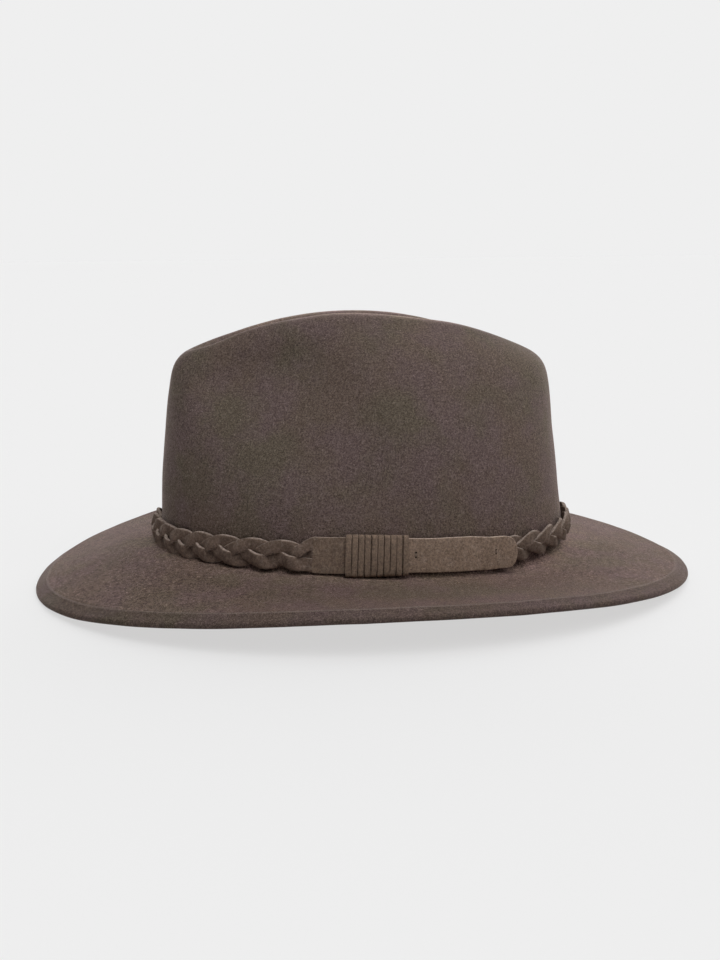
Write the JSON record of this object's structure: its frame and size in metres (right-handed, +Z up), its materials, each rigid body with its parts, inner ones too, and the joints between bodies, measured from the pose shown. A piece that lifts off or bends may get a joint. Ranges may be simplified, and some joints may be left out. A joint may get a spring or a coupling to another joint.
{
  "type": "felt hat",
  "caption": "Felt hat with a creased and pinched crown, a wide brim whose sides curl up, and a plaited suede band that ends in a flat strap wound with a lace.",
  "frame": {"origin": "centre of the bounding box's bottom face: under the middle of the brim, on the surface the hat rests on", "axes": "+Z up out of the crown, -Y the hat's front where the crown is pinched, +X the wearer's left, where the band's strap is"},
  "size_m": [0.2928, 0.3361, 0.1354],
  "materials": {
    "felt": "wool felt with a short brushed nap, matte",
    "suede_strap": "suede, napped and matte",
    "suede_braid": "suede, napped and matte",
    "suede_lace": "suede, napped and matte"
  },
  "bodies": {
    "root": {"felt_body": "felt", "band_strap": "suede_strap", "braid_strand_1": "suede_braid", "braid_strand_2": "suede_braid", "braid_strand_3": "suede_braid", "lace_wrap": "suede_lace"}
  },
  "joints": []
}
